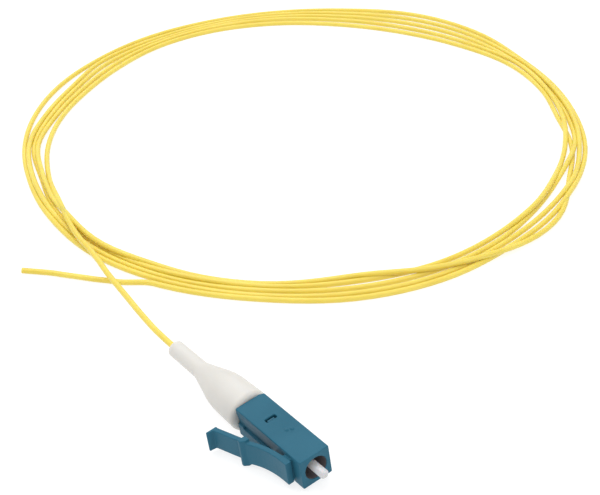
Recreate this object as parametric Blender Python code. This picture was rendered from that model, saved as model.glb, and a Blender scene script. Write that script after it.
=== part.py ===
"""Fibre optic pigtail: a small snap-in connector on a loose coil of thin buffered fibre.

Metres, +Z up. The connector lies on its side as it comes to rest on a table: on the round base of its
boot and on the shoulder of its latch. +X runs along the connector, the way the ferrule points. The latch
is on the -Y side. The origin is under the middle of the connector, on the table.
"""

import math

import bmesh
import bpy
from mathutils import Matrix, Vector

MM = 0.001
CLEARANCE = 0.1 * MM
MOULD_GAP = 0.3 * MM
OVERLAP = 0.4 * MM

# Housing, measured from its front face, with the ferrule's axis as its centre line.
HOUSING_SQUARE = 4.52 * MM
HOUSING_LENGTH = 13.7 * MM
HOUSING_EDGE = 0.12 * MM
REAR_CORNER = 0.6 * MM
NOSE_BORE_RADIUS = 1.65 * MM
NOSE_BORE_DEPTH = 4.0 * MM
STOP_WALL = 0.5 * MM
STOP_HOLE_RADIUS = 0.95 * MM
CAVITY_RADIUS = 1.85 * MM
WINDOW_LENGTH = 0.64 * MM
WINDOW_WIDTH = 1.65 * MM
WINDOW_FROM_FRONT = 9.0 * MM
PIP_RADIUS = 0.24 * MM
PIP_HEIGHT = 0.12 * MM
PIP_FROM_FRONT = 5.65 * MM
PIP_ACROSS = 0.15 * MM
PIP_SPACING = 0.62 * MM
PIP_STAGGER = 0.3 * MM

# Relief in the housing's latch side, which slants in from its upper line to its floor, and the slit below.
# Its front end is a ramp that leans forward towards the top.
RELIEF_FROM_FRONT = 4.3 * MM
RELIEF_FLOOR_FROM_FRONT = 6.1 * MM
RELIEF_RAMP = 0.9 * MM
RELIEF_FRONT_TOP = 2.05 * MM
RELIEF_REAR_TOP = 1.35 * MM
RELIEF_FLOOR = -0.3 * MM
RELIEF_DEPTH = 0.3 * MM
SLIT_FROM_FRONT = 6.6 * MM
SLIT_LENGTH = 5.9 * MM
SLIT_WIDTH = 0.28 * MM
SLIT_DEPTH = 0.36 * MM

# Latch lever, a springy arm moulded with the housing on its -Y side.
LEVER_FRONT_SETBACK = 1.5 * MM
LEVER_ROOT_GAP = 0.25 * MM
LEVER_ROOT_THICKNESS = 0.9 * MM
LEVER_THICKNESS = 0.72 * MM
WEB_SETBACK = 0.3 * MM
WEB_LENGTH = 1.3 * MM
ARM_WIDTH = 3.6 * MM
ARM_BEND = 2.6
SHOULDER_WIDTH = 4.4 * MM
SHOULDER_REACH = 5.4 * MM
SHOULDER_HEIGHT = 0.56 * MM
SHOULDER_FROM_FRONT = 8.9 * MM
SHOULDER_LENGTH = 0.4 * MM
SHOULDER_RAMP = 0.5 * MM
TAB_WIDTH = 3.2 * MM
TAB_START_REACH = 4.95 * MM
TAB_REACH = 6.3 * MM
TAB_LIP = 0.95 * MM
TAB_LIP_LENGTH = 0.36 * MM
TAB_FROM_FRONT = 13.45 * MM

# Ferrule, its metal flange and the spring behind it.
FERRULE_RADIUS = 0.625 * MM
FERRULE_LENGTH = 6.5 * MM
FERRULE_PROTRUSION = 1.9 * MM
FERRULE_CHAMFER = 0.25 * MM
FLANGE_RADIUS = 1.5 * MM
FLANGE_THICKNESS = 1.1 * MM
FLANGE_STEM_RADIUS = 0.88 * MM
FLANGE_STEM_LENGTH = 3.4 * MM
SPRING_WIRE_RADIUS = 0.15 * MM
SPRING_TURNS = 4

# Rear body: it closes the housing, snaps into its windows and carries the boot on a post.
REAR_BODY_FRONT = 8.0 * MM
SNAP_RECESS = 0.25 * MM
SNAP_GAP = 0.17 * MM
POST_LENGTH = 4.8 * MM
POST_RADIUS = 1.25 * MM
BARB_HEIGHT = 0.2 * MM
BARB_LENGTH = 0.8 * MM
STEM_BORE_RADIUS = 1.05 * MM
STEM_BORE_DEPTH = 2.0 * MM
FIBRE_BORE_RADIUS = 0.6 * MM

# Boot.
BOOT_RADIUS = 3.0 * MM
BOOT_KINK_RADIUS = 2.78 * MM
BOOT_BASE_LENGTH = 6.1 * MM
BOOT_CONE_LENGTH = 5.6 * MM
BOOT_TAIL_RADIUS = 1.25 * MM
BOOT_TAIL_LENGTH = 6.4 * MM
BOOT_EDGE = 0.25 * MM
BOOT_GRIP = 0.15 * MM

# Fibre, and the oval ring that stands for its turns.
FIBRE_RADIUS = 0.45 * MM
FIBRE_SPACING = 2.0 * MM
COIL_CENTRE = (-63.4 * MM, 60.9 * MM)
COIL_LONG_RADIUS = 55.2 * MM
COIL_SHORT_RADIUS = 48.7 * MM
COIL_TILT = math.radians(130.3)
COIL_WIDTH = 6.4 * MM
COIL_HEIGHT = 2.4 * MM
COIL_CORNER = 0.8 * MM

ROUND_STEPS = 32
FINE_STEPS = 24
ARM_STEPS = 10
PIP_STEPS = 10
SPRING_STEPS = 12
COIL_STEPS = 96
FIBRE_SIDES = 2
SPRING_SIDES = 1


def boot_end():
    """Distance from the housing's front face to the boot's tail end."""
    return HOUSING_LENGTH + CLEARANCE + BOOT_BASE_LENGTH + BOOT_CONE_LENGTH + BOOT_TAIL_LENGTH


def lean():
    """Angle at which the boot's base and the latch's shoulder both touch the table."""
    half = SHOULDER_WIDTH / 2
    return math.asin(BOOT_RADIUS / math.hypot(SHOULDER_REACH, half)) - math.atan2(half, SHOULDER_REACH)


def connector_middle():
    """Middle of the connector's box along X and Y, from the front face and the ferrule's axis."""
    tip = TAB_REACH + TAB_LIP
    latch_side = tip * math.cos(lean()) + TAB_WIDTH / 2 * math.sin(lean())
    return (FERRULE_PROTRUSION - boot_end()) / 2, (BOOT_RADIUS - latch_side) / 2


def clear_scene():
    for old in list(bpy.data.objects):
        bpy.data.objects.remove(old, do_unlink=True)


def material(name, colour, roughness, metallic=0.0):
    made = bpy.data.materials.new(name)
    made.use_nodes = True
    shader = made.node_tree.nodes["Principled BSDF"]
    shader.inputs["Base Color"].default_value = (*colour, 1.0)
    shader.inputs["Roughness"].default_value = roughness
    shader.inputs["Metallic"].default_value = metallic
    return made


def object_from(name, bm, finish=None, parent=None):
    bmesh.ops.recalc_face_normals(bm, faces=bm.faces)
    mesh = bpy.data.meshes.new(name)
    bm.to_mesh(mesh)
    bm.free()
    if finish:
        mesh.materials.append(finish)
    made = bpy.data.objects.new(name, mesh)
    bpy.context.scene.collection.objects.link(made)
    made.parent = parent
    return made


def shade_round(made):
    made.data.shade_smooth()
    made.data.set_sharp_from_angle(angle=math.radians(35))


def turned(name, outline, steps, finish=None, parent=None):
    """Solid of revolution about the X axis. The outline is a closed loop of (x, radius)."""
    bm = bmesh.new()
    rings = []
    for step in range(steps):
        angle = 2 * math.pi * step / steps
        ring = [bm.verts.new((x, r * math.cos(angle), r * math.sin(angle))) for x, r in outline]
        rings.append(ring)
    count = len(outline)
    for step in range(steps):
        here, there = rings[step], rings[(step + 1) % steps]
        for i in range(count):
            j = (i + 1) % count
            bm.faces.new((here[i], here[j], there[j], there[i]))
    bmesh.ops.remove_doubles(bm, verts=bm.verts, dist=1e-7)
    made = object_from(name, bm, finish, parent)
    shade_round(made)
    return made


def rod(name, start, end, radius, steps, parent=None):
    """Solid cylinder along X between two places."""
    bm = bmesh.new()
    place = Matrix.Translation(((start + end) / 2, 0, 0)) @ Matrix.Rotation(math.pi / 2, 4, "Y")
    depth = abs(end - start)
    bmesh.ops.create_cone(
        bm, cap_ends=True, segments=steps, radius1=radius, radius2=radius, depth=depth, matrix=place
    )
    return object_from(name, bm, parent=parent)


def block(name, low, high, parent=None, finish=None):
    bm = bmesh.new()
    centre = (Vector(low) + Vector(high)) / 2
    size = Vector(high) - Vector(low)
    bmesh.ops.create_cube(bm, size=1, matrix=Matrix.Translation(centre) @ Matrix.Diagonal((*size, 1)))
    return object_from(name, bm, finish, parent)


def prism(name, corners, direction, parent=None):
    """Solid made by moving a flat polygon along a direction."""
    bm = bmesh.new()
    base = [bm.verts.new(corner) for corner in corners]
    face = bm.faces.new(base)
    pushed = bmesh.ops.extrude_face_region(bm, geom=[face])
    moved = [item for item in pushed["geom"] if isinstance(item, bmesh.types.BMVert)]
    bmesh.ops.translate(bm, verts=moved, vec=Vector(direction))
    return object_from(name, bm, parent=parent)


def combine(target, tool, operation):
    """Adds a Boolean and turns the tool into a wire guide."""
    boolean = target.modifiers.new(tool.name, "BOOLEAN")
    boolean.object = tool
    boolean.operation = operation
    boolean.solver = "EXACT"
    tool.hide_render = True
    tool.display_type = "WIRE"


def housing_shell(finish, parent):
    """Square moulding with rounded long edges and one chamfered rear corner, away from the latch."""
    half = HOUSING_SQUARE / 2
    cut = REAR_CORNER
    rear = -HOUSING_LENGTH
    bm = bmesh.new()
    plan = [(0, -half), (0, half), (rear + cut / 2, half), (rear, half - cut), (rear, -half)]
    base = [bm.verts.new((x, y, -half)) for x, y in plan]
    face = bm.faces.new(base)
    pushed = bmesh.ops.extrude_face_region(bm, geom=[face])
    moved = [item for item in pushed["geom"] if isinstance(item, bmesh.types.BMVert)]
    bmesh.ops.translate(bm, verts=moved, vec=(0, 0, HOUSING_SQUARE))
    long_edges = [
        edge
        for edge in bm.edges
        if abs(edge.verts[0].co.z - edge.verts[1].co.z) < CLEARANCE
        and abs(edge.verts[0].co.y - edge.verts[1].co.y) < CLEARANCE
    ]
    bmesh.ops.bevel(bm, geom=long_edges, offset=HOUSING_EDGE, segments=2, profile=0.5, affect="EDGES")
    return object_from("connector_housing", bm, finish, parent)


def arm_stations():
    """Sections of the arm, which leaves its root slowly and then swings outwards to the shoulder."""
    root = HOUSING_SQUARE / 2 + LEVER_ROOT_GAP + LEVER_ROOT_THICKNESS
    run = SHOULDER_FROM_FRONT - SHOULDER_LENGTH - SHOULDER_RAMP - LEVER_FRONT_SETBACK
    rise = SHOULDER_REACH - SHOULDER_HEIGHT - root
    sections = []
    for step in range(ARM_STEPS + 1):
        share = step / ARM_STEPS
        thinned = min(1, 2 * share)
        thick = LEVER_ROOT_THICKNESS + (LEVER_THICKNESS - LEVER_ROOT_THICKNESS) * thinned
        outer = root + rise * share**ARM_BEND
        sections.append((LEVER_FRONT_SETBACK + run * share, outer, outer - thick, ARM_WIDTH / 2))
    return sections


def lever_stations():
    """Sections of the lever from its root to the tab's end: place, outer side, inner side, half width."""
    sections = arm_stations()
    arm_end, arm_outer, arm_inner, _ = sections[-1]
    step = CLEARANCE / 2
    half = SHOULDER_WIDTH / 2
    end = SHOULDER_FROM_FRONT
    tab_inner = TAB_START_REACH - LEVER_THICKNESS
    middle_inner = (arm_inner + tab_inner) / 2
    sections.append((arm_end + step, arm_outer, arm_inner, half))
    sections.append((end - SHOULDER_LENGTH, SHOULDER_REACH, middle_inner, half))
    sections.append((end, SHOULDER_REACH, tab_inner, half))
    half = TAB_WIDTH / 2
    lip_start = TAB_FROM_FRONT - TAB_LIP_LENGTH
    inner = TAB_REACH - LEVER_THICKNESS
    sections.append((end + step, TAB_START_REACH, tab_inner, half))
    sections.append((lip_start, TAB_REACH, inner, half))
    sections.append((lip_start + TAB_LIP_LENGTH / 3, TAB_REACH + TAB_LIP, inner, half))
    sections.append((TAB_FROM_FRONT, TAB_REACH + TAB_LIP, inner, half))
    return sections


def lever(parent):
    bm = bmesh.new()
    rings = []
    for along, outer, inner, half in lever_stations():
        corners = ((-outer, -half), (-outer, half), (-inner, half), (-inner, -half))
        rings.append([bm.verts.new((-along, y, z)) for y, z in corners])
    for here, there in zip(rings, rings[1:]):
        for i in range(4):
            j = (i + 1) % 4
            bm.faces.new((here[i], here[j], there[j], there[i]))
    bm.faces.new(rings[0])
    bm.faces.new(rings[-1])
    return object_from("lever_guide", bm, parent=parent)


def lever_web(parent):
    """Web that joins the lever to the housing, just behind its front end."""
    half = HOUSING_SQUARE / 2
    front = LEVER_FRONT_SETBACK + WEB_SETBACK
    inside_lever = half + LEVER_ROOT_GAP + LEVER_ROOT_THICKNESS / 2
    return block(
        "lever_web_guide",
        (-front - WEB_LENGTH, -inside_lever, -ARM_WIDTH / 2 + CLEARANCE),
        (-front, -half + OVERLAP / 2, ARM_WIDTH / 2 - CLEARANCE),
        parent,
    )


def relief(parent):
    """Long wedge that slants in from its upper line, with a ramp at its front end."""
    side = -HOUSING_SQUARE / 2
    inner = side + RELIEF_DEPTH
    out = side - OVERLAP
    beyond = OVERLAP / RELIEF_DEPTH
    floor = RELIEF_FLOOR
    rear = -HOUSING_LENGTH - OVERLAP
    foot = -RELIEF_FLOOR_FROM_FRONT - RELIEF_RAMP
    top_front = -RELIEF_FROM_FRONT + beyond * (-RELIEF_FROM_FRONT - foot)
    corners = [
        (top_front, out, RELIEF_FRONT_TOP + beyond * (RELIEF_FRONT_TOP - floor)),
        (-RELIEF_FLOOR_FROM_FRONT + beyond * RELIEF_RAMP, out, floor),
        (foot, inner, floor),
        (rear, out, RELIEF_REAR_TOP + beyond * (RELIEF_REAR_TOP - floor)),
        (rear, out, floor),
        (rear, inner, floor),
    ]
    bm = bmesh.new()
    top, outer, inside, rear_top, rear_outer, rear_inside = [bm.verts.new(corner) for corner in corners]
    for face in (
        (top, outer, inside),
        (rear_top, rear_outer, rear_inside),
        (top, inside, rear_inside),
        (top, rear_inside, rear_top),
        (top, rear_top, rear_outer, outer),
        (outer, rear_outer, rear_inside, inside),
    ):
        bm.faces.new(face)
    return object_from("relief_guide", bm, parent=parent)


def slit(parent):
    """Narrow groove along the relief's floor."""
    side = -HOUSING_SQUARE / 2
    low = (-SLIT_FROM_FRONT - SLIT_LENGTH, side - OVERLAP, RELIEF_FLOOR - SLIT_WIDTH)
    high = (-SLIT_FROM_FRONT, side + SLIT_DEPTH, RELIEF_FLOOR + CLEARANCE / 2)
    return block("slit_guide", low, high, parent)


def window(name, side, parent):
    middle = -WINDOW_FROM_FRONT
    half = HOUSING_SQUARE / 2
    low = (middle - WINDOW_LENGTH / 2, -WINDOW_WIDTH / 2, half / 2)
    high = (middle + WINDOW_LENGTH / 2, WINDOW_WIDTH / 2, half + OVERLAP)
    made = block(name, low, high, parent)
    if side < 0:
        made.rotation_euler.x = math.pi
    return made


def pip(name, along, across, parent):
    """Low round mark on the housing's upper side."""
    top = PIP_HEIGHT
    outline = [(-top, 0.0), (-top, PIP_RADIUS), (top / 2, PIP_RADIUS), (top, PIP_RADIUS / 2), (top, 0.0)]
    made = turned(name, outline, PIP_STEPS, parent=parent)
    made.rotation_euler.y = -math.pi / 2
    made.location = (-along, across, HOUSING_SQUARE / 2)
    return made


def make_housing(parent):
    finish = material("teal_plastic", (0.055, 0.19, 0.27), 0.38)
    housing = housing_shell(finish, parent)
    combine(housing, relief(parent), "DIFFERENCE")
    combine(housing, slit(parent), "DIFFERENCE")
    combine(housing, lever_web(parent), "UNION")
    combine(housing, lever(parent), "UNION")
    nose_end = -NOSE_BORE_DEPTH
    cavity_start = nose_end - STOP_WALL
    rear = -HOUSING_LENGTH - OVERLAP
    nose_bore = rod("nose_bore_guide", OVERLAP, nose_end, NOSE_BORE_RADIUS, ROUND_STEPS, parent)
    stop_hole = rod(
        "stop_hole_guide", nose_end + OVERLAP, cavity_start - OVERLAP, STOP_HOLE_RADIUS, FINE_STEPS, parent
    )
    cavity = rod("cavity_guide", cavity_start, rear, CAVITY_RADIUS, ROUND_STEPS, parent)
    for hole in (nose_bore, stop_hole, cavity):
        combine(housing, hole, "DIFFERENCE")
    combine(housing, window("upper_window_guide", 1, parent), "DIFFERENCE")
    combine(housing, window("lower_window_guide", -1, parent), "DIFFERENCE")
    front_pip = pip("front_pip_guide", PIP_FROM_FRONT - PIP_STAGGER / 2, PIP_ACROSS + PIP_SPACING, parent)
    rear_pip = pip("rear_pip_guide", PIP_FROM_FRONT + PIP_STAGGER / 2, PIP_ACROSS, parent)
    combine(housing, front_pip, "UNION")
    combine(housing, rear_pip, "UNION")
    return housing


def make_ferrule(slider):
    finish = material("white_ceramic", (0.80, 0.80, 0.80), 0.22)
    tip = FERRULE_PROTRUSION
    rear = tip - FERRULE_LENGTH
    r = FERRULE_RADIUS
    face = r - FERRULE_CHAMFER
    outline = [(rear, 0), (rear, r), (tip - FERRULE_CHAMFER, r)]
    outline += [(tip - FERRULE_CHAMFER / 4, face + CLEARANCE / 2), (tip, face), (tip, 0)]
    return turned("ferrule", outline, FINE_STEPS, finish, slider)


def flange_front():
    return -(NOSE_BORE_DEPTH + STOP_WALL + CLEARANCE)


def make_flange(slider):
    """Collar that holds the ferrule's rear end in a blind seat, with a stem for the spring."""
    finish = material("flange_metal", (0.62, 0.60, 0.55), 0.30, 1.0)
    front = flange_front()
    back = front - FLANGE_THICKNESS
    stem_end = back - FLANGE_STEM_LENGTH
    neck = -NOSE_BORE_DEPTH
    seat = FERRULE_RADIUS + CLEARANCE / 2
    neck_radius = STOP_HOLE_RADIUS - CLEARANCE
    floor = FERRULE_PROTRUSION - FERRULE_LENGTH - CLEARANCE
    outline = [(neck, seat), (neck, neck_radius), (front, neck_radius), (front, FLANGE_RADIUS)]
    outline += [(back, FLANGE_RADIUS), (back, FLANGE_STEM_RADIUS), (stem_end, FLANGE_STEM_RADIUS)]
    outline += [(stem_end, FIBRE_RADIUS), (floor, FIBRE_RADIUS), (floor, seat)]
    return turned("ferrule_flange", outline, FINE_STEPS, finish, slider)


def make_spring(parent):
    """Compression spring between the flange and the rear body, one closed tube along a helix."""
    finish = material("spring_steel", (0.60, 0.61, 0.62), 0.30, 1.0)
    front = flange_front() - FLANGE_THICKNESS - CLEARANCE - SPRING_WIRE_RADIUS
    back = -REAR_BODY_FRONT + CLEARANCE + SPRING_WIRE_RADIUS
    radius = FLANGE_RADIUS - SPRING_WIRE_RADIUS
    steps = SPRING_STEPS * SPRING_TURNS
    points = []
    for step in range(steps + 1):
        share = step / steps
        angle = 2 * math.pi * SPRING_TURNS * share
        points.append((front + (back - front) * share, radius * math.cos(angle), radius * math.sin(angle)))
    return tube("ferrule_spring", points, SPRING_WIRE_RADIUS, SPRING_SIDES, finish, parent)


def make_rear_body(parent):
    finish = material("insert_plastic", (0.06, 0.21, 0.29), 0.42)
    body = CAVITY_RADIUS - CLEARANCE
    end = -HOUSING_LENGTH
    post_end = end - POST_LENGTH
    barb = POST_RADIUS + BARB_HEIGHT
    seat = -REAR_BODY_FRONT - STEM_BORE_DEPTH
    front = -REAR_BODY_FRONT
    outline = [(front, STEM_BORE_RADIUS), (front, body), (end, body), (end, POST_RADIUS)]
    for number in (1, 3):
        start = end - number * BARB_LENGTH
        outline += [(start, POST_RADIUS), (start, barb), (start - BARB_LENGTH, POST_RADIUS)]
    outline += [(post_end, POST_RADIUS), (post_end, FIBRE_BORE_RADIUS)]
    outline += [(seat, FIBRE_BORE_RADIUS), (seat, STEM_BORE_RADIUS)]
    rear_body = turned("rear_body", outline, ROUND_STEPS, finish, parent)
    for name, turn in (("upper_snap_guide", 0.0), ("lower_snap_guide", math.pi)):
        combine(rear_body, snap_tab(name, turn, parent), "UNION")
    return rear_body


def snap_tab(name, turn, parent):
    """Wedge that stands up from the rear body into a window of the housing."""
    front = -WINDOW_FROM_FRONT + WINDOW_LENGTH / 2 - SNAP_GAP
    back = -WINDOW_FROM_FRONT - WINDOW_LENGTH / 2 + SNAP_GAP
    low = CAVITY_RADIUS - CLEARANCE - OVERLAP
    high = HOUSING_SQUARE / 2 - SNAP_RECESS
    width = WINDOW_WIDTH - 2 * MOULD_GAP
    corners = [(back, low), (back, high), ((front + back) / 2, high), (front, high - CLEARANCE), (front, low)]
    made = prism(name, [(x, -width / 2, z) for x, z in corners], (0, width, 0), parent)
    made.rotation_euler.x = turn
    return made


def make_boot(parent):
    finish = material("boot_rubber", (0.78, 0.75, 0.71), 0.5)
    front = -HOUSING_LENGTH - CLEARANCE
    kink = front - BOOT_BASE_LENGTH
    tail = kink - BOOT_CONE_LENGTH
    end = -boot_end()
    socket = -HOUSING_LENGTH - POST_LENGTH - MOULD_GAP
    grip = POST_RADIUS + BARB_HEIGHT + BOOT_GRIP
    edge = BOOT_EDGE
    outline = [(front, grip), (front, BOOT_RADIUS - edge), (front - edge * 0.3, BOOT_RADIUS - edge * 0.3)]
    outline += [(front - edge, BOOT_RADIUS), (kink + edge, BOOT_KINK_RADIUS)]
    outline += [(kink, BOOT_KINK_RADIUS - edge * 0.3), (kink - edge, BOOT_KINK_RADIUS - edge)]
    outline += [(tail + edge, BOOT_TAIL_RADIUS + edge * 0.3), (tail - edge, BOOT_TAIL_RADIUS)]
    outline += [(end + edge, BOOT_TAIL_RADIUS - edge * 0.2), (end, BOOT_TAIL_RADIUS - edge)]
    outline += [(end, FIBRE_BORE_RADIUS), (socket, FIBRE_BORE_RADIUS), (socket, grip)]
    return turned("boot", outline, ROUND_STEPS, finish, parent)


def smooth_route(points):
    """Points at an even spacing along one smooth curve through the given points."""
    spacing = FIBRE_SPACING
    route = [Vector(point) for point in points]
    first = route[0] * 2 - route[1]
    last = route[-1] * 2 - route[-2]
    padded = [first] + route + [last]
    fine = []
    for before, here, there, after in zip(padded, padded[1:], padded[2:], padded[3:]):
        for step in range(FINE_STEPS):
            t = step / FINE_STEPS
            bend = 2 * before - 5 * here + 4 * there - after
            twist = -before + 3 * here - 3 * there + after
            fine.append(0.5 * (2 * here + (there - before) * t + bend * t**2 + twist * t**3))
    fine.append(route[-1])
    even = [fine[0]]
    walked = 0.0
    for here, there in zip(fine, fine[1:]):
        walked += (there - here).length
        if walked >= spacing:
            even.append(there)
            walked = 0.0
    if (even[-1] - fine[-1]).length < spacing / 2:
        even.pop()
    even.append(fine[-1])
    return even


def tube(name, points, radius, sides, finish, parent=None):
    curve = bpy.data.curves.new(name, "CURVE")
    curve.dimensions = "3D"
    curve.bevel_depth = radius
    curve.bevel_resolution = sides
    curve.use_fill_caps = True
    spline = curve.splines.new("POLY")
    spline.points.add(len(points) - 1)
    for place, point in zip(spline.points, points):
        place.co = (*point, 1.0)
    curve.materials.append(finish)
    made = bpy.data.objects.new(name, curve)
    bpy.context.scene.collection.objects.link(made)
    made.parent = parent
    return made


def make_coil(finish):
    """One oval ring with rounded edges, as wide and as high as the loose turns."""
    half_width, height, corner = COIL_WIDTH / 2, COIL_HEIGHT, COIL_CORNER
    outline = []
    for centre_x, centre_z, start in (
        (half_width - corner, height - corner, 0),
        (-half_width + corner, height - corner, 90),
        (-half_width + corner, corner, 180),
        (half_width - corner, corner, 270),
    ):
        for turn in (0, 45, 90):
            angle = math.radians(start + turn)
            outline.append((centre_x + corner * math.cos(angle), centre_z + corner * math.sin(angle)))
    bm = bmesh.new()
    steps = COIL_STEPS
    rings = []
    for step in range(steps):
        angle = 2 * math.pi * step / steps
        across, up = math.cos(angle), math.sin(angle)
        along = Vector((COIL_LONG_RADIUS * across, COIL_SHORT_RADIUS * up, 0))
        outward = Vector((COIL_SHORT_RADIUS * across, COIL_LONG_RADIUS * up, 0)).normalized()
        rings.append([bm.verts.new(along + outward * out + Vector((0, 0, high))) for out, high in outline])
    for step in range(steps):
        here, there = rings[step], rings[(step + 1) % steps]
        for i in range(len(outline)):
            j = (i + 1) % len(outline)
            bm.faces.new((here[i], here[j], there[j], there[i]))
    coil = object_from("fibre_coil", bm, finish)
    shade_round(coil)
    coil.location = (*COIL_CENTRE, 0)
    coil.rotation_euler.z = COIL_TILT
    return coil


# Routes of the fibre on the table, in the part's own frame, in millimetres.
LEAD_ROUTE = [
    (-21.9, 2.35, 3.0),
    (-25.2, 2.7, 2.95),
    (-28.7, 3.2, 2.85),
    (-32.3, 3.8, 2.7),
    (-35.5, 4.3, 2.6),
    (-39.1, 4.9, 2.45),
    (-41.3, 5.3, 2.4),
    (-43.2, 5.7, 2.35),
    (-44.3, 5.95, 2.3),
]
TAIL_ROUTE = [
    (-39.4, 7.2, 0.46),
    (-41.0, 5.8, 0.46),
    (-42.8, 4.2, 0.46),
    (-44.7, 2.7, 0.46),
    (-46.7, 1.1, 0.46),
    (-48.6, -0.4, 0.46),
    (-51.8, -3.5, 0.46),
]


def route_in_metres(route):
    return [(x * MM, y * MM, z * MM) for x, y, z in route]


def make_lead(finish):
    middle_x, middle_y = connector_middle()
    start = (-boot_end() - MOULD_GAP - middle_x, -middle_y, BOOT_RADIUS)
    route = [start] + route_in_metres(LEAD_ROUTE)
    return tube("fibre_lead", smooth_route(route), FIBRE_RADIUS, FIBRE_SIDES, finish)


def make_tail(finish):
    return tube("fibre_tail", smooth_route(route_in_metres(TAIL_ROUTE)), FIBRE_RADIUS, FIBRE_SIDES, finish)


def main():
    clear_scene()
    connector = bpy.data.objects.new("connector_place", None)
    bpy.context.scene.collection.objects.link(connector)
    middle_x, middle_y = connector_middle()
    connector.location = (-middle_x, -middle_y, BOOT_RADIUS)
    connector.rotation_euler.x = lean()
    make_housing(connector)
    make_ferrule(connector)
    make_flange(connector)
    make_spring(connector)
    make_rear_body(connector)
    make_boot(connector)
    yellow = material("fibre_buffer", (0.83, 0.66, 0.10), 0.35)
    make_lead(yellow)
    make_coil(yellow)
    make_tail(yellow)


main()
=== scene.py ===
"""Looks of the fibre optic pigtail: camera, light, the fibre's turns, and the finish of each piece."""
import math

import bmesh
import bpy
import numpy as np
from mathutils import Matrix, Vector


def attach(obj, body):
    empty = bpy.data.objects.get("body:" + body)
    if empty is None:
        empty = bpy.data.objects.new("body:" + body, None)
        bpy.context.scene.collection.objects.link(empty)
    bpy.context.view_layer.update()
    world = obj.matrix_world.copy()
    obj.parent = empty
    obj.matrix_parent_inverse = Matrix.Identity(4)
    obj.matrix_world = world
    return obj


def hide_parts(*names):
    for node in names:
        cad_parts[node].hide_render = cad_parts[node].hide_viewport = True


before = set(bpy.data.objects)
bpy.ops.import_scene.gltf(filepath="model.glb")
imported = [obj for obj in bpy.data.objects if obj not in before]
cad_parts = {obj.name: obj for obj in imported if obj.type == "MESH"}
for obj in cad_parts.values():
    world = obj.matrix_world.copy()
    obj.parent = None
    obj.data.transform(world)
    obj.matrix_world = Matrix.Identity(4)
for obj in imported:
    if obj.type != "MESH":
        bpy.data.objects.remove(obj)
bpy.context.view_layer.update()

MM = 0.001

# Camera, in the frame's own metres. Its lens is for a sensor 36 mm wide.
CAMERA_PLACE = (0.12011, -0.08040, 0.11609)
CAMERA_LOOK = (-0.6797, 0.5178, -0.5195)
CAMERA_LENS = 84.0
SENSOR_WIDTH = 36.0

# Connector: the middle of its nose's front face, and how far it leans onto its latch.
NOSE = Vector((15.0 * MM, 2.205 * MM, 3.0 * MM))
LEAN = math.radians(8.8)

# Housing: grain of the mesh that rounds its edges, passes of rounding, and the share of faces that is kept.
MOULD_GRAIN = 0.05 * MM
MOULD_ROUNDING = 26
MOULD_SHARE_KEPT = 0.35
# The nose's bore gets painted shade: faces nearer its axis than the reach that look towards the axis take a
# dull grey in place of the teal plastic.
BORE_REACH = 1.7 * MM
BORE_RIM = 0.1 * MM
BORE_FACING = 0.5
# Two small pips on the housing's upper side, placed along and across the connector.
HOUSING_TOP = 2.26 * MM
PIPS = [(-5.5 * MM, 0.77 * MM), (-5.8 * MM, 0.15 * MM)]
PIP_RADIUS = 0.23 * MM
PIP_HEIGHT = 0.14 * MM

# Boot, as distances behind the nose's front face, and radii.
BOOT_FRONT = 13.8 * MM
BOOT_BASE_LENGTH = 6.1 * MM
BOOT_CONE_LENGTH = 5.6 * MM
BOOT_TAIL_LENGTH = 6.4 * MM
BOOT_RADIUS = 3.0 * MM
BOOT_END_RADIUS = 1.23 * MM
BOOT_EDGE = 0.25 * MM
BOOT_FRONT_EDGE = 0.75 * MM
BOOT_BORE_RADIUS = 0.5 * MM
BOOT_BORE_LIP = 0.06 * MM
BOOT_SOCKET_RADIUS = 1.6 * MM
BOOT_SOCKET_DEPTH = 5.0 * MM
BOOT_STEPS = 96
# Points of its flank, in millimetres: along from where the cone or the tail starts, and radius.
FLANK_AT_CONE = [(1.6, 2.86), (0.5, 2.78), (-0.6, 2.6), (-2.5, 2.08)]
FLANK_AT_TAIL = [(0.8, 1.45), (0.0, 1.28), (-1.2, 1.25)]

# Ferrule, with small round edges and a slightly crowned face that shows the fibre's end.
FERRULE_TIP = 1.9 * MM
FERRULE_LENGTH = 6.5 * MM
FERRULE_RADIUS = 0.625 * MM
FERRULE_CHAMFER = 0.25 * MM
FERRULE_ROUND_EDGE = 0.03 * MM
FERRULE_CROWN = 0.02 * MM
FERRULE_STEPS = 64
FIBRE_CORE_RADIUS = 0.0625 * MM

# Fibre. Its turns lie about one oval, and each turn has its own sideways place in the bundle.
FIBRE_RADIUS = 0.45 * MM
COIL_CENTRE = (-63.4 * MM, 60.9 * MM)
COIL_LONG_RADIUS = 55.2 * MM
COIL_SHORT_RADIUS = 48.7 * MM
COIL_TILT = math.radians(130.3)
STATION = 15
FIRST_STATION = 285
TURN_START = 270
# Samples between two stations of the turns, and between two points of the lead and the tail.
SAMPLES = 6
ROUTE_SAMPLES = 8

# Routes of the lead to the coil and of the tail away from it, in millimetres. The lead starts inside the
# boot's tail, and the tail starts under the turns.
BOOT_EXIT = [(-15.9, 2.2, 3.0), (-17.4, 2.2, 3.0)]
LEAD_ROUTE = [
    (-21.9, 2.35, 3.0),
    (-25.2, 2.7, 2.95),
    (-28.7, 3.2, 2.85),
    (-32.3, 3.8, 2.7),
    (-35.5, 4.3, 2.6),
    (-39.1, 4.9, 2.45),
    (-41.3, 5.3, 2.4),
    (-43.2, 5.7, 2.35),
    (-44.3, 5.95, 2.3),
]
UNDER_TURNS = [(-37.1, 10.1, 0.46)]
TAIL_ROUTE = [
    (-39.4, 7.2, 0.46),
    (-41.0, 5.8, 0.46),
    (-42.8, 4.2, 0.46),
    (-44.7, 2.7, 0.46),
    (-46.7, 1.1, 0.46),
    (-48.6, -0.4, 0.46),
    (-51.8, -3.5, 0.46),
]

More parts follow.
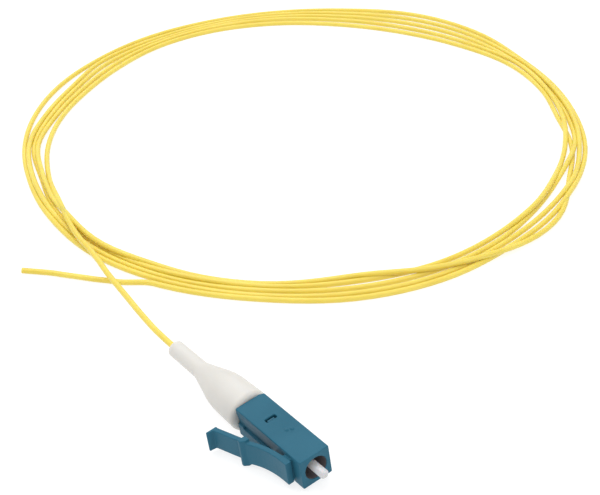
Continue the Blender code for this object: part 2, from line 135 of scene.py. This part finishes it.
# How far each turn lies outside the oval, in millimetres, every 15 degrees clockwise. The first turn starts
# at 285 degrees, where the lead reaches the bundle, and the others at 270.
TURNS = [
    (2.2, -1.3, -2.3, -2.3, -2.5, -2.8, -2.3, -1.3, -1.3, -2.3, -3.6, -3.8, -2.8,
     -1.1, -1.1, -1.8, -0.5, 0.2, 2.6, 2.0, -0.3, -3.3, -2.6, -2.0, -0.8),
    (-1.1, -1.3, -0.6, -1.3, -1.6, -0.8, 0.0, 0.2, -0.1, -1.1, -1.3, -0.7,
     0.0, -0.5, -1.0, -1.7, -2.2, -2.0, -2.4, -2.2, -2.4, -1.6, -0.9, -1.0),
    (-0.7, -1.1, 0.2, -0.3, -0.3, 0.8, 1.0, 1.2, 1.2, 0.9, 1.3, 1.4,
     0.8, 0.2, 0.1, 0.0, -1.6, -1.8, -1.2, -0.7, -0.6, -0.7, -0.2, 0.1),
    (0.1, 0.4, 1.0, 0.7, 0.8, 2.4, 2.2, 2.3, 2.6, 2.7, 3.8, 3.4,
     1.7, 0.7, 0.8, 0.8, 0.9, 0.0, -0.1, 0.8, 0.9, 0.7, 0.9, 1.2),
    (0.9, 1.0, 1.9, 2.7, 3.3, 3.5, 3.8, 3.6, 3.8, 4.6, 6.4, 5.3,
     2.6, 1.9, 1.7, 1.9, 1.6, 1.4, 1.2, 2.0, 2.2, 1.6, 2.1),
]
# Order in which the turns lie on each other, from the table up. The first turn lies on top of the others, and
# lowest of all between two angles. The fibre comes down from the lead's end between two angles.
LAYERS = {3: 1, 5: 2, 4: 3, 2: 4}
LOWEST_LAYER = 0
TOP_LAYER = 6
FIRST_TURN_LOW = (22, 262)
LEAD_DESCENT = (250, 287)
# Widths, in samples, of the two smoothings of the fibre's height.
RISE_WIDTH = 2.0
HEIGHT_WIDTH = 1.5

# Finishes: scales of the clouds of tone and of gloss, how far the gloss varies, and the strength of the skin.
CLOUD_SCALE = 160.0
SHEEN_SCALE = 700.0
SHEEN_SPREAD = 0.05
SKIN_STRENGTH = 0.4

# Floor and room: the floor's half width, its grey and its own glow, and the strength of the room's light.
FLOOR_SIZE = 1.5
FLOOR_GREY = 0.30
FLOOR_GLOW = 0.78
ROOM_STRENGTH = 0.72


def smooth_line(points, samples):
    """Catmull-Rom points through the given ones, as an array."""
    line = np.array(points, float)
    line = np.vstack([2 * line[0] - line[1], line, 2 * line[-1] - line[-2]])
    fine = []
    for before, here, there, after in zip(line, line[1:], line[2:], line[3:]):
        for step in range(samples):
            t = step / samples
            bend = 2 * before - 5 * here + 4 * there - after
            twist = -before + 3 * here - 3 * there + after
            fine.append(0.5 * (2 * here + (there - before) * t + bend * t**2 + twist * t**3))
    fine.append(line[-2])
    return np.array(fine)


def soften(values, width):
    """Values smoothed along the line with a bell of the given width in samples."""
    reach = int(4 * width)
    bell = np.exp(-0.5 * (np.arange(-reach, reach + 1) / width) ** 2)
    padded = np.pad(values, reach, mode="edge")
    return np.convolve(padded, bell / bell.sum(), mode="valid")


def layer(turn, angle):
    """Place of a turn from the table up. The first turn starts on top, dives under and comes up again."""
    if turn == 1:
        low_end, low_start = FIRST_TURN_LOW
        return LOWEST_LAYER if low_end < angle < low_start else TOP_LAYER
    return LAYERS[turn]


def coil_heights(angles, shifts):
    """Height of each sample: it rests on the table or on the samples of lower turns at its angle."""
    turn = ((TURN_START - angles) // 360).astype(int) + 1
    turn = np.maximum(turn, 1)
    local = angles + 360 * (turn - 1)
    order = [layer(number, angle) for number, angle in zip(turn, local)]
    across = np.round((local % 360) * SAMPLES / STATION).astype(int)
    heights = np.full(len(angles), FIBRE_RADIUS)
    for column in np.unique(across):
        group = sorted(np.where(across == column)[0], key=lambda i: order[i])
        for place, i in enumerate(group):
            for j in group[:place]:
                gap = abs(shifts[i] - shifts[j])
                if gap < 2 * FIBRE_RADIUS:
                    rise = math.sqrt(4 * FIBRE_RADIUS**2 - gap**2)
                    heights[i] = max(heights[i], heights[j] + rise)
    return heights


def coil_line():
    """Centreline of the turns, from where the lead reaches the bundle to where the tail leaves it."""
    shifts = [shift * MM for turn in TURNS for shift in turn]
    stations = [FIRST_STATION - STATION * number for number in range(len(shifts))]
    fine = smooth_line(list(zip(stations, shifts)), SAMPLES)
    angles, shifts = fine[:, 0], fine[:, 1]
    heights = coil_heights(angles, shifts)
    lead_end = LEAD_ROUTE[-1][2] * MM
    drop = np.interp(angles, LEAD_DESCENT, (0, lead_end))
    heights = np.maximum(heights, drop)
    heights = np.maximum(heights, soften(heights, RISE_WIDTH))
    heights = soften(heights, HEIGHT_WIDTH)
    around = np.radians(angles)
    turned = around - COIL_TILT
    oval = COIL_LONG_RADIUS * COIL_SHORT_RADIUS
    oval /= np.hypot(COIL_SHORT_RADIUS * np.cos(turned), COIL_LONG_RADIUS * np.sin(turned))
    reach = oval + shifts
    x = COIL_CENTRE[0] + reach * np.cos(around)
    y = COIL_CENTRE[1] + reach * np.sin(around)
    return np.column_stack([x, y, heights])


def fibre_line():
    """Whole centreline of the fibre, in metres: the lead, the turns and the tail."""
    coil = coil_line()
    lead_points = np.array(BOOT_EXIT + LEAD_ROUTE) * MM
    tail_points = np.array(UNDER_TURNS + TAIL_ROUTE) * MM
    lead = smooth_line(np.vstack([lead_points, coil[:1]]), ROUTE_SAMPLES)[:-1]
    tail = smooth_line(np.vstack([coil[-1:], tail_points]), ROUTE_SAMPLES)[1:]
    return np.vstack([lead, coil, tail])


def new_material(name, roughness):
    made = bpy.data.materials.new(name)
    made.use_nodes = True
    shader = made.node_tree.nodes["Principled BSDF"]
    shader.inputs["Roughness"].default_value = roughness
    return made, shader


def noise(tree, scale, detail, source):
    made = tree.nodes.new("ShaderNodeTexNoise")
    made.inputs["Scale"].default_value = scale
    made.inputs["Detail"].default_value = detail
    tree.links.new(source.outputs["Object"], made.inputs["Vector"])
    return made


def tint(tree, factor, low, high, socket):
    """Colour between two tones, chosen by a factor."""
    ramp = tree.nodes.new("ShaderNodeValToRGB")
    ramp.color_ramp.elements[0].position = 0.3
    ramp.color_ramp.elements[1].position = 0.7
    ramp.color_ramp.elements[0].color = (*low, 1.0)
    ramp.color_ramp.elements[1].color = (*high, 1.0)
    tree.links.new(factor, ramp.inputs["Fac"])
    tree.links.new(ramp.outputs["Color"], socket)


def spread(tree, factor, low, high, socket):
    """Plain value between two limits, chosen by a factor."""
    made = tree.nodes.new("ShaderNodeMapRange")
    made.inputs["To Min"].default_value = low
    made.inputs["To Max"].default_value = high
    tree.links.new(factor, made.inputs["Value"])
    tree.links.new(made.outputs["Result"], socket)


def relief(tree, height, distance, strength, shader):
    made = tree.nodes.new("ShaderNodeBump")
    made.inputs["Strength"].default_value = strength
    made.inputs["Distance"].default_value = distance
    tree.links.new(height, made.inputs["Height"])
    tree.links.new(made.outputs["Normal"], shader.inputs["Normal"])


def moulded(name, low, high, roughness, grain, depth, specular=0.5):
    """Moulded plastic: soft clouds of tone, uneven gloss and a fine skin."""
    made, shader = new_material(name, roughness)
    tree = made.node_tree
    place = tree.nodes.new("ShaderNodeTexCoord")
    clouds = noise(tree, CLOUD_SCALE, 3.0, place)
    tint(tree, clouds.outputs["Fac"], low, high, shader.inputs["Base Color"])
    sheen = noise(tree, SHEEN_SCALE, 2.0, place)
    smooth, rough = roughness - SHEEN_SPREAD, roughness + SHEEN_SPREAD
    spread(tree, sheen.outputs["Fac"], smooth, rough, shader.inputs["Roughness"])
    skin = noise(tree, grain, 4.0, place)
    relief(tree, skin.outputs["Fac"], depth, SKIN_STRENGTH, shader)
    shader.inputs["Specular IOR Level"].default_value = specular
    return made, shader


def housing_plastic():
    low, high = (0.018, 0.110, 0.170), (0.024, 0.126, 0.192)
    made, shader = moulded("teal_plastic", low, high, 0.42, 9000.0, 0.02 * MM, 0.13)
    shader.inputs["Subsurface Weight"].default_value = 0.03
    shader.inputs["Subsurface Radius"].default_value = (0.2, 0.4, 0.5)
    shader.inputs["Subsurface Scale"].default_value = 0.5 * MM
    return made


# Painted shade: a dull grey that stands in for the teal plastic of the nose's bore as it looks in shadow.
def painted_bore_shade():
    low, high = (0.130, 0.115, 0.120), (0.150, 0.135, 0.140)
    return moulded("painted_bore_shade", low, high, 0.5, 9000.0, 0.02 * MM, 0.2)[0]


def insert_plastic():
    low, high = (0.016, 0.118, 0.186), (0.022, 0.134, 0.208)
    return moulded("insert_plastic", low, high, 0.40, 9000.0, 0.02 * MM, 0.28)[0]


def boot_rubber():
    low, high = (0.630, 0.612, 0.575), (0.665, 0.648, 0.612)
    made, shader = moulded("white_boot", low, high, 0.46, 5000.0, 0.03 * MM)
    shader.inputs["Subsurface Weight"].default_value = 0.25
    shader.inputs["Subsurface Radius"].default_value = (1.0, 0.8, 0.6)
    shader.inputs["Subsurface Scale"].default_value = 1.0 * MM
    return made


def fibre_buffer():
    low, high = (0.770, 0.600, 0.082), (0.820, 0.655, 0.108)
    made, shader = moulded("yellow_buffer", low, high, 0.40, 2500.0, 0.02 * MM)
    shader.inputs["Subsurface Weight"].default_value = 0.25
    shader.inputs["Subsurface Radius"].default_value = (1.0, 0.7, 0.15)
    shader.inputs["Subsurface Scale"].default_value = 0.4 * MM
    return made


def ceramic():
    low, high = (0.560, 0.565, 0.580), (0.610, 0.615, 0.630)
    made, shader = moulded("white_ceramic", low, high, 0.16, 4000.0, 0.004 * MM)
    shader.inputs["Subsurface Weight"].default_value = 0.15
    shader.inputs["Subsurface Scale"].default_value = 0.4 * MM
    return made


def core_glass():
    low, high = (0.30, 0.31, 0.33), (0.36, 0.37, 0.39)
    return moulded("fibre_core_glass", low, high, 0.10, 4000.0, 0.002 * MM)[0]


def metal(name, low, high, roughness):
    made, shader = moulded(name, low, high, roughness, 6000.0, 0.01 * MM)
    shader.inputs["Metallic"].default_value = 1.0
    return made


def new_object(name, bm, materials):
    mesh = bpy.data.meshes.new(name)
    bm.to_mesh(mesh)
    bm.free()
    made = bpy.data.objects.new(name, mesh)
    bpy.context.scene.collection.objects.link(made)
    for finish in materials:
        mesh.materials.append(finish)
    return made


def arc(centre, radius, start, end, steps):
    """Points of a quarter or other arc of the outline, angles in degrees."""
    turns = np.radians(np.linspace(start, end, steps + 1))
    return [(centre[0] + radius * math.cos(t), centre[1] + radius * math.sin(t)) for t in turns]


def turned(name, outline, steps, materials):
    """Body of revolution about the connector's axis. The outline is a closed loop of (along, radius)."""
    bm = bmesh.new()
    rings = []
    for along, radius in outline:
        ring = []
        if radius > 0:
            for step in range(steps):
                angle = 2 * math.pi * step / steps
                ring.append(bm.verts.new((along, radius * math.cos(angle), radius * math.sin(angle))))
        else:
            ring.append(bm.verts.new((along, 0, 0)))
        rings.append(ring)
    for here, there in zip(rings, rings[1:] + rings[:1]):
        if len(here) == 1 and len(there) == 1:
            continue
        for step in range(steps):
            after = (step + 1) % steps
            if len(here) == 1:
                bm.faces.new((here[0], there[after], there[step]))
            elif len(there) == 1:
                bm.faces.new((here[step], here[after], there[0]))
            else:
                bm.faces.new((here[step], here[after], there[after], there[step]))
    bmesh.ops.recalc_face_normals(bm, faces=bm.faces)
    made = new_object(name, bm, materials)
    made.data.shade_smooth()
    made.data.set_sharp_from_angle(angle=math.radians(40))
    made.data.transform(Matrix.Translation(NOSE) @ Matrix.Rotation(LEAN, 4, "X"))
    return made


def make_boot():
    front = -BOOT_FRONT
    cone = front - BOOT_BASE_LENGTH
    tail = cone - BOOT_CONE_LENGTH
    end = tail - BOOT_TAIL_LENGTH
    socket = front - BOOT_SOCKET_DEPTH
    rim = BOOT_FRONT_EDGE
    edge = BOOT_EDGE
    outline = [(front, BOOT_SOCKET_RADIUS)]
    outline += arc((front - rim, BOOT_RADIUS - rim), rim, 0, 90, 10)
    flank = [outline[-1]]
    flank += [(cone + along * MM, radius * MM) for along, radius in FLANK_AT_CONE]
    flank += [(tail + along * MM, radius * MM) for along, radius in FLANK_AT_TAIL]
    flank += [(end + edge, BOOT_END_RADIUS)]
    outline += [tuple(point) for point in smooth_line(flank, 6)[1:]]
    outline += arc((end + edge, BOOT_END_RADIUS - edge), edge, 90, 180, 6)[1:]
    outline += [(end, BOOT_BORE_RADIUS + BOOT_BORE_LIP), (end + BOOT_BORE_LIP, BOOT_BORE_RADIUS)]
    outline += [(socket, BOOT_BORE_RADIUS), (socket, BOOT_SOCKET_RADIUS)]
    made = turned("strain_boot", outline, BOOT_STEPS, [boot_rubber()])
    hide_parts("boot")
    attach(made, "pigtail")


def make_ferrule():
    tip = FERRULE_TIP
    rear = tip - FERRULE_LENGTH
    face_radius = FERRULE_RADIUS - FERRULE_CHAMFER
    edge = FERRULE_ROUND_EDGE
    outline = [(rear, 0), (rear, FERRULE_RADIUS - edge), (rear + edge, FERRULE_RADIUS)]
    outline += [(tip - FERRULE_CHAMFER - edge, FERRULE_RADIUS)]
    outline += [(tip - FERRULE_CHAMFER, FERRULE_RADIUS - edge / 2)]
    outline += [(tip - 0.05 * MM, face_radius + edge)]
    for share in (1.0, 0.8, 0.6, 0.4):
        outline.append((tip - FERRULE_CROWN * share**2, face_radius * share))
    outline += [(tip - FERRULE_CROWN * 0.03, FIBRE_CORE_RADIUS), (tip, 0)]
    made = turned("ceramic_ferrule", outline, FERRULE_STEPS, [ceramic(), core_glass()])
    for face in made.data.polygons:
        middle = face.center - NOSE
        if middle.x > tip - FERRULE_CROWN and math.hypot(middle.y, middle.z) < FIBRE_CORE_RADIUS:
            face.material_index = 1
    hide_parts("ferrule")
    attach(made, "ferrule_group")


def make_fibre():
    line = fibre_line()
    curve = bpy.data.curves.new("buffered_fibre", "CURVE")
    curve.dimensions = "3D"
    curve.bevel_depth = FIBRE_RADIUS
    curve.bevel_resolution = 6
    curve.use_fill_caps = True
    spline = curve.splines.new("POLY")
    spline.points.add(len(line) - 1)
    for place, point in zip(spline.points, line):
        place.co = (*point, 1.0)
    spline.use_smooth = True
    curve.materials.append(fibre_buffer())
    made = bpy.data.objects.new("buffered_fibre", curve)
    bpy.context.scene.collection.objects.link(made)
    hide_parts("fibre_lead", "fibre_coil", "fibre_tail")
    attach(made, "pigtail")


def dress_node(name, finish):
    """A finish for a solid that is shown as it is."""
    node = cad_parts[name]
    node.data.materials.clear()
    node.data.materials.append(finish)
    node.data.shade_smooth()
    node.data.set_sharp_from_angle(angle=math.radians(30))


def rounded_copy(mesh):
    """The mesh with its edges rounded, as a new mesh."""
    rough = bpy.data.objects.new("rough_housing", mesh)
    bpy.context.scene.collection.objects.link(rough)
    grain = rough.modifiers.new("even_grain", "REMESH")
    grain.mode = "VOXEL"
    grain.voxel_size = MOULD_GRAIN
    rounding = rough.modifiers.new("soft_edges", "SMOOTH")
    rounding.factor = 0.5
    rounding.iterations = MOULD_ROUNDING
    fewer = rough.modifiers.new("fewer_faces", "DECIMATE")
    fewer.ratio = MOULD_SHARE_KEPT
    evaluated = rough.evaluated_get(bpy.context.evaluated_depsgraph_get())
    smooth = bpy.data.meshes.new_from_object(evaluated)
    bpy.data.objects.remove(rough, do_unlink=True)
    return smooth


def add_pips(bm):
    flatten = Matrix.Diagonal((1, 1, PIP_HEIGHT / PIP_RADIUS, 1))
    for along, across in PIPS:
        place = Matrix.Translation((along, across, HOUSING_TOP)) @ flatten
        bmesh.ops.create_uvsphere(bm, u_segments=20, v_segments=12, radius=PIP_RADIUS, matrix=place)


def paint_bore_shade(bm):
    """Gives the faces inside the nose's bore the second material, a dull grey that paints their shade."""
    for face in bm.faces:
        middle = face.calc_center_median()
        out = math.hypot(middle.y, middle.z)
        inside = out < BORE_REACH and middle.x < -BORE_RIM
        if inside and face.normal.yz.dot(middle.yz) < BORE_FACING * -out:
            face.material_index = 1


def make_housing():
    """Housing with its latch, as the CAD node has it, with the soft edges of a moulding."""
    upright = Matrix.Translation(NOSE) @ Matrix.Rotation(LEAN, 4, "X")
    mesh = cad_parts["connector_housing"].data.copy()
    mesh.transform(upright.inverted())
    smooth = rounded_copy(mesh)
    bm = bmesh.new()
    bm.from_mesh(smooth)
    bpy.data.meshes.remove(smooth)
    add_pips(bm)
    # The faces inside the bore take the painted shade material.
    paint_bore_shade(bm)
    bm.transform(upright)
    made = new_object("latch_housing", bm, [housing_plastic(), painted_bore_shade()])
    made.data.shade_smooth()
    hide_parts("connector_housing")
    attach(made, "pigtail")


def make_camera():
    camera = bpy.data.objects.new("camera", bpy.data.cameras.new("camera"))
    bpy.context.scene.collection.objects.link(camera)
    camera.location = CAMERA_PLACE
    camera.rotation_euler = Vector(CAMERA_LOOK).to_track_quat("-Z", "Y").to_euler()
    camera.data.sensor_width = SENSOR_WIDTH
    camera.data.lens = CAMERA_LENS
    camera.data.clip_start = 0.01
    camera.data.clip_end = 10.0
    bpy.context.scene.camera = camera


def make_floor():
    bm = bmesh.new()
    bmesh.ops.create_grid(bm, x_segments=1, y_segments=1, size=FLOOR_SIZE)
    finish, shader = new_material("pale_floor", 0.9)
    shader.inputs["Base Color"].default_value = (FLOOR_GREY, FLOOR_GREY, FLOOR_GREY, 1.0)
    shader.inputs["Specular IOR Level"].default_value = 0.0
    shader.inputs["Emission Color"].default_value = (1.0, 1.0, 1.0, 1.0)
    shader.inputs["Emission Strength"].default_value = FLOOR_GLOW
    floor = new_object("floor", bm, [finish])


def area_light(name, place, target, size, power):
    made = bpy.data.objects.new(name, bpy.data.lights.new(name, "AREA"))
    bpy.context.scene.collection.objects.link(made)
    made.data.shape = "SQUARE"
    made.data.size = size
    made.data.energy = power
    made.location = place
    made.rotation_euler = (Vector(target) - Vector(place)).to_track_quat("-Z", "Y").to_euler()


def make_light():
    world = bpy.data.worlds.new("soft_room")
    bpy.context.scene.world = world
    world.use_nodes = True
    background = world.node_tree.nodes["Background"]
    background.inputs["Color"].default_value = (1.0, 1.0, 1.0, 1.0)
    background.inputs["Strength"].default_value = ROOM_STRENGTH
    area_light("softbox", (-0.15, -0.10, 0.60), (-0.03, 0.03, 0.0), 0.5, 1.9)
    area_light("back_light", (-0.42, 0.23, 0.45), (0.0, 0.0, 0.0), 0.35, 0.6)
    area_light("edge_light", (0.30, 0.17, 0.37), (0.01, 0.0, 0.0), 0.12, 0.35)
    bpy.context.scene.view_settings.view_transform = "Standard"


make_camera()
make_fibre()
make_boot()
make_ferrule()
make_housing()
dress_node("rear_body", insert_plastic())
dress_node("ferrule_flange", metal("flange_nickel", (0.58, 0.56, 0.51), (0.66, 0.64, 0.59), 0.28))
dress_node("ferrule_spring", metal("spring_wire", (0.56, 0.57, 0.58), (0.64, 0.65, 0.66), 0.30))
make_floor()
make_light()
